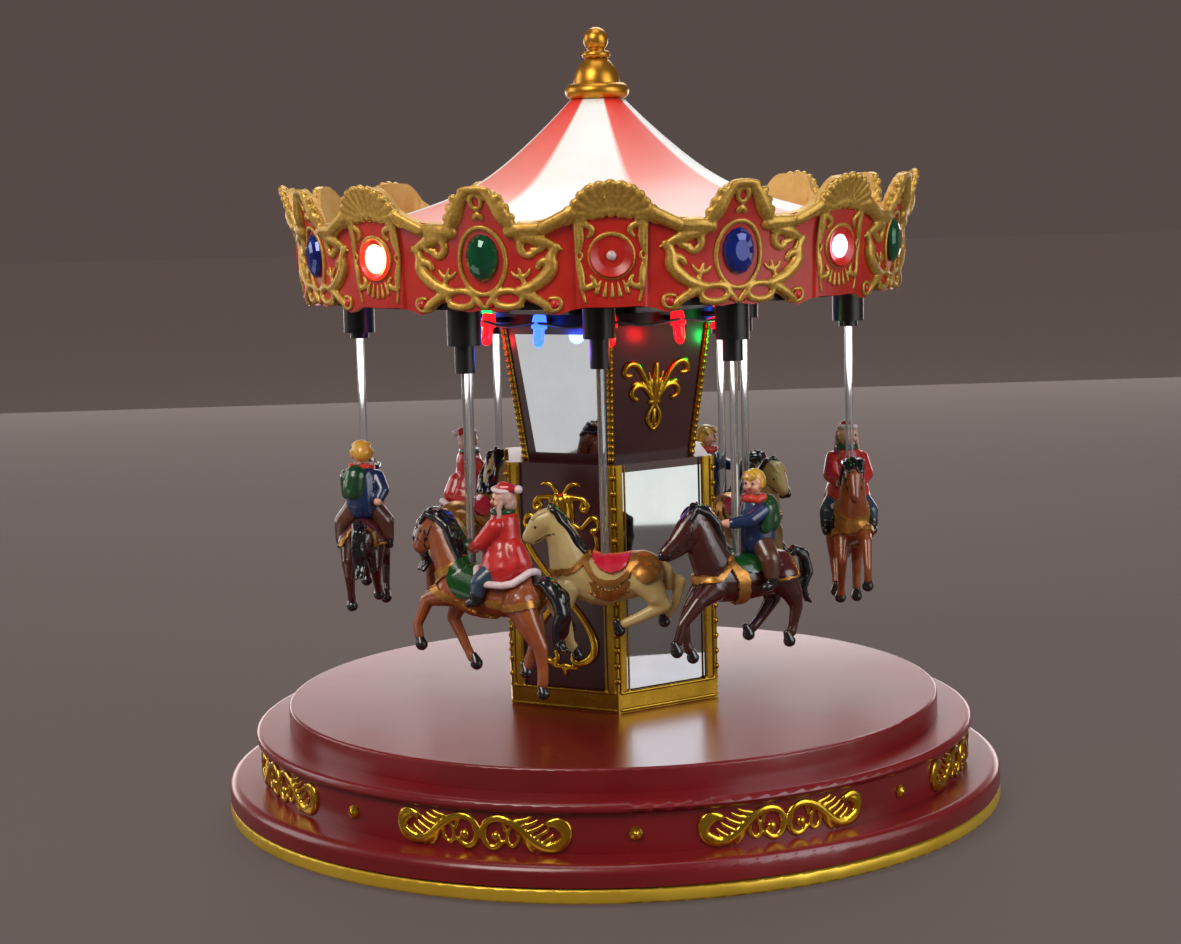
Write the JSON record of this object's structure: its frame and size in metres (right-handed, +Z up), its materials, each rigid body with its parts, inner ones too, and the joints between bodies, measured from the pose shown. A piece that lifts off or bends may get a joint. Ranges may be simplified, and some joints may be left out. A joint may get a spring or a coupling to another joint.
{
  "type": "musical carousel ornament",
  "caption": "Table-top animated merry-go-round: a stepped round base, a six-sided mirrored tower and a turning canopy that carries horses on rising and falling poles.",
  "frame": {"origin": "centre of the base at table level, on the canopy's shaft axis", "axes": "+Z up along the shaft, -Y to the front, +X to the right seen from the front"},
  "size_m": [0.3, 0.3, 0.2966],
  "materials": {
    "burgundy_plastic": "glossy deep red moulded plastic",
    "gold_paint": "gold paint over moulded plastic",
    "crown_red": "bright red moulded plastic with gold paint",
    "black_plastic": "matte black moulded plastic",
    "grey_plastic": "plain moulded plastic",
    "clear_rod": "clear acrylic rod",
    "tent_plastic": "translucent white plastic with airbrushed red stripes",
    "resin_chestnut": "hand-painted varnished resin, chestnut horse",
    "resin_dark": "hand-painted varnished resin, dark-brown horse",
    "resin_cream": "hand-painted varnished resin, cream horse",
    "mirror_silver": "silvered acrylic",
    "gem_glass": "faceted acrylic cabochon, blue or green",
    "lamp_plastic": "tinted lamp plastic",
    "steel": "bright steel",
    "brass": "machined brass",
    "foot_rubber": "matte rubber",
    "board_green": "printed circuit board",
    "white_plastic": "white acetal plastic"
  },
  "bodies": {
    "base": {"bottom_plate": "black_plastic", "gold_rim_band": "gold_paint", "base_housing": "burgundy_plastic", "deck": "burgundy_plastic", "base_scrolls": "gold_paint", "rubber_feet": "foot_rubber", "base_screws": "steel", "drive_motor": "steel", "speaker": "black_plastic", "control_board": "board_green", "power_inlet": "black_plastic", "shaft_bushes": "brass", "slip_ring": "grey_plastic", "tower_lower_shell": "burgundy_plastic", "tower_upper_shell": "burgundy_plastic", "tower_mirrors": "mirror_silver", "tower_gilt_trim": "gold_paint", "tower_ornaments": "gold_paint", "tower_cap": "black_plastic", "string_light_bulbs": "lamp_plastic", "string_light_wire": "grey_plastic", "cam_ring": "white_plastic"},
    "canopy": {"main_shaft": "steel", "main_gear": "white_plastic", "canopy_floor": "black_plastic", "canopy_tent": "tent_plastic", "crown": "crown_red", "crown_gems": "gem_glass", "crown_lamps": "lamp_plastic", "finial": "gold_paint"},
    "pinion": {"motor_pinion": "white_plastic"},
    "switch_cap": {"power_switch": "black_plastic"},
    "volume_wheel": {"volume_dial": "black_plastic"},
    "lift_1": {"lift_sleeve_1": "black_plastic", "pole_1": "clear_rod", "horse_1": "resin_dark"},
    "lift_2": {"lift_sleeve_2": "black_plastic", "pole_2": "clear_rod", "horse_2": "resin_chestnut"},
    "lift_3": {"lift_sleeve_3": "black_plastic", "pole_3": "clear_rod", "horse_3": "resin_dark"},
    "lift_4": {"lift_sleeve_4": "black_plastic", "pole_4": "clear_rod", "horse_4": "resin_chestnut"},
    "lift_5": {"lift_sleeve_5": "black_plastic", "pole_5": "clear_rod", "horse_5": "resin_dark"},
    "lift_6": {"lift_sleeve_6": "black_plastic", "pole_6": "clear_rod", "horse_6": "resin_chestnut"},
    "lift_7": {"lift_sleeve_7": "black_plastic", "pole_7": "clear_rod", "horse_7": "resin_cream"},
    "lift_8": {"lift_sleeve_8": "black_plastic", "pole_8": "clear_rod", "horse_8": "resin_cream"},
    "lift_9": {"lift_sleeve_9": "black_plastic", "pole_9": "clear_rod", "horse_9": "resin_cream"}
  },
  "joints": [
    {"name": "canopy_spin", "type": "hinge", "parent": "base", "child": "canopy", "pos_m": [0, 0, 0], "axis": [0, 0, 1], "continuous": true},
    {"name": "motor_pinion_spin", "type": "hinge", "parent": "base", "child": "pinion", "pos_m": [0, -0.03212, 0], "axis": [0, 0, 1], "continuous": true},
    {"name": "horse_1_lift", "type": "slide", "parent": "canopy", "child": "lift_1", "axis": [0, 0, 1], "range_m": [-0.00883, 0.00017]},
    {"name": "horse_2_lift", "type": "slide", "parent": "canopy", "child": "lift_2", "axis": [0, 0, 1], "range_m": [-0.00126, 0.00774]},
    {"name": "horse_3_lift", "type": "slide", "parent": "canopy", "child": "lift_3", "axis": [0, 0, 1], "range_m": [-0.00341, 0.00559]},
    {"name": "horse_4_lift", "type": "slide", "parent": "canopy", "child": "lift_4", "axis": [0, 0, 1], "range_m": [-0.00883, 0.00017]},
    {"name": "horse_5_lift", "type": "slide", "parent": "canopy", "child": "lift_5", "axis": [0, 0, 1], "range_m": [-0.00126, 0.00774]},
    {"name": "horse_6_lift", "type": "slide", "parent": "canopy", "child": "lift_6", "axis": [0, 0, 1], "range_m": [-0.00341, 0.00559]},
    {"name": "horse_7_lift", "type": "slide", "parent": "canopy", "child": "lift_7", "axis": [0, 0, 1], "range_m": [-0.00017, 0.00883]},
    {"name": "horse_8_lift", "type": "slide", "parent": "canopy", "child": "lift_8", "axis": [0, 0, 1], "range_m": [-0.00559, 0.00341]},
    {"name": "horse_9_lift", "type": "slide", "parent": "canopy", "child": "lift_9", "axis": [0, 0, 1], "range_m": [-0.00774, 0.00126]},
    {"name": "power_switch_slide", "type": "slide", "parent": "base", "child": "switch_cap", "axis": [-1, 0, 0], "range_m": [0, 0.003]},
    {"name": "volume_wheel_turn", "type": "hinge", "parent": "base", "child": "volume_wheel", "pos_m": [-0.014, 0.1301, 0.0215], "axis": [0, 0, 1], "range_deg": [0, 270]}
  ],
  "couplings": [
    {"joint": "motor_pinion_spin", "follows": "canopy_spin", "ratio": -3}
  ]
}
